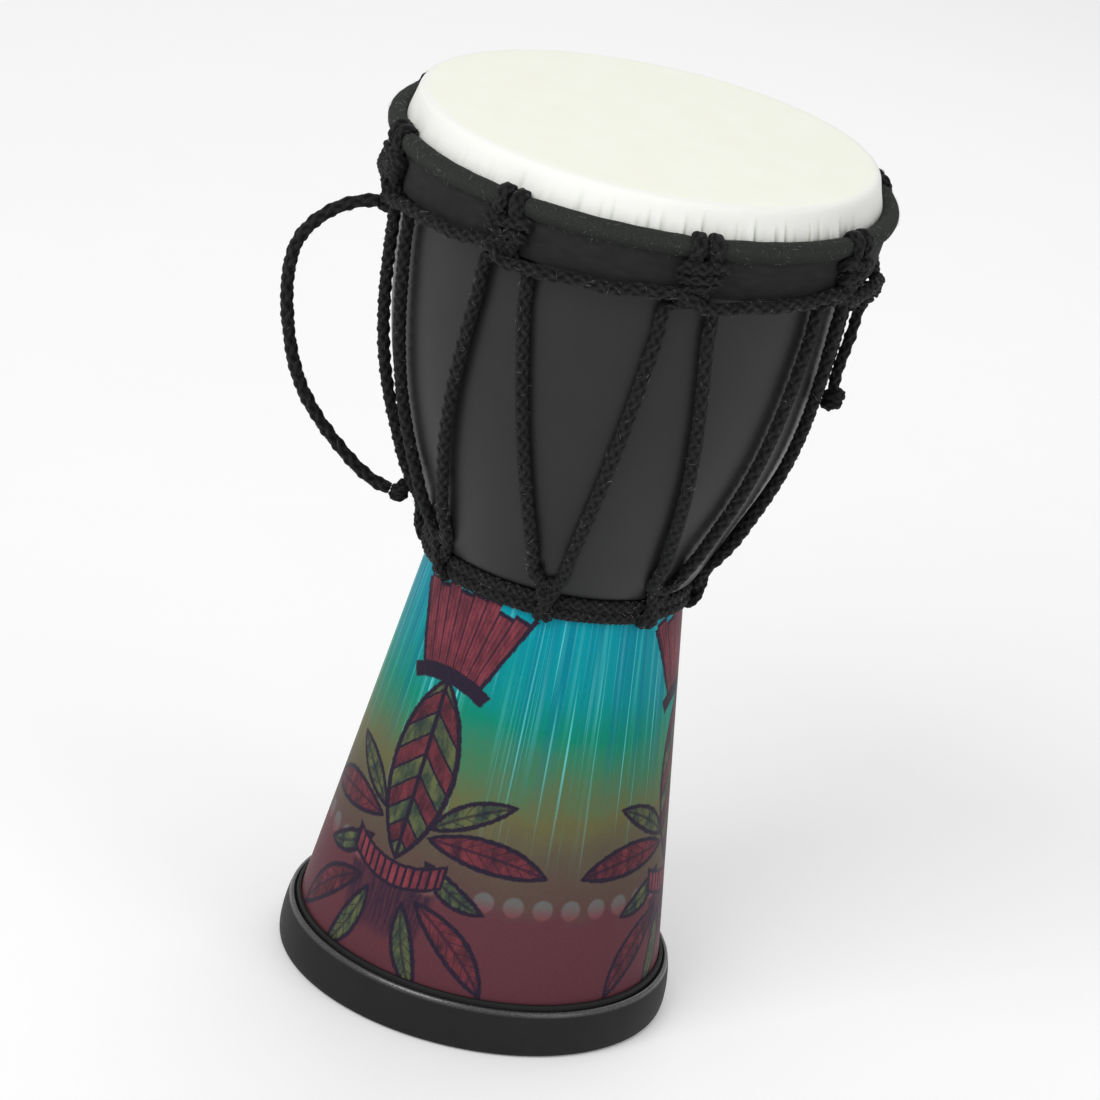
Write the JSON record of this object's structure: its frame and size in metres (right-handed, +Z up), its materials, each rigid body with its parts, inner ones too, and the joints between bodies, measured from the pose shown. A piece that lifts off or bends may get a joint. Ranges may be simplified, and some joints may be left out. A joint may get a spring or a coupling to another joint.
{
  "type": "djembe drum",
  "caption": "Small goblet-shaped hand drum with a pale head, a padded rope-laced collar, a charcoal bowl, a printed flared stem, a rubber foot ring and a rope carry handle.",
  "frame": {"origin": "on the floor, on the drum's axis, at the centre of the foot ring's underside", "axes": "+Z up along the drum's axis to the playing surface; -Y towards the viewer; -X towards the carry handle"},
  "size_m": [0.2154, 0.1894, 0.342],
  "materials": {
    "shell": "moulded charcoal plastic with a fine satin grain",
    "print": "printed film, teal fading through green and brown to maroon",
    "foot_rubber": "satin black moulded rubber",
    "head_skin": "smooth synthetic drum skin, creamy white",
    "hoop_steel": "zinc-plated steel",
    "felt": "black felt over the crown hoop, linty",
    "band_cloth": "smooth black stretch cloth",
    "rope": "black braided cotton-blend rope with loose fibres"
  },
  "bodies": {
    "root": {"bowl_shell": "shell", "stem_shell": "shell", "graphic_sleeve": "print", "foot_ring": "foot_rubber", "drum_head": "head_skin", "flesh_hoop": "hoop_steel", "crown_hoop": "hoop_steel", "crown_hoop_cover": "felt", "collar_band": "band_cloth", "cradle_rope": "rope", "waist_hoop": "hoop_steel", "waist_rope_lower": "rope", "waist_rope_upper": "rope", "tuning_rope": "rope", "crown_hitch_1": "rope", "crown_hitch_2": "rope", "crown_hitch_3": "rope", "crown_hitch_4": "rope", "crown_hitch_5": "rope", "crown_hitch_6": "rope", "crown_hitch_7": "rope", "crown_hitch_8": "rope", "waist_hitch_1": "rope", "waist_hitch_2": "rope", "waist_hitch_3": "rope", "waist_hitch_4": "rope", "waist_hitch_5": "rope", "waist_hitch_6": "rope", "waist_hitch_7": "rope", "waist_hitch_8": "rope", "handle_top_knot": "rope", "handle_bottom_knot": "rope", "cradle_knot": "rope"},
    "handle": {"handle_rope": "rope"},
    "tail": {"tail_rope": "rope", "tail_stopper_knot": "rope"}
  },
  "joints": [
    {"name": "handle_swing", "type": "hinge", "parent": "root", "child": "handle", "pos_m": [-0.06319, 0.0011, 0.1829], "axis": [-0.1989, -0.1258, 0.9719], "range_deg": [-75, 60]},
    {"name": "tail_swing", "type": "hinge", "parent": "root", "child": "tail", "pos_m": [0.08712, -0.00916, 0.2942], "axis": [-0.1045, -0.9945, 0], "range_deg": [0, 90]}
  ]
}
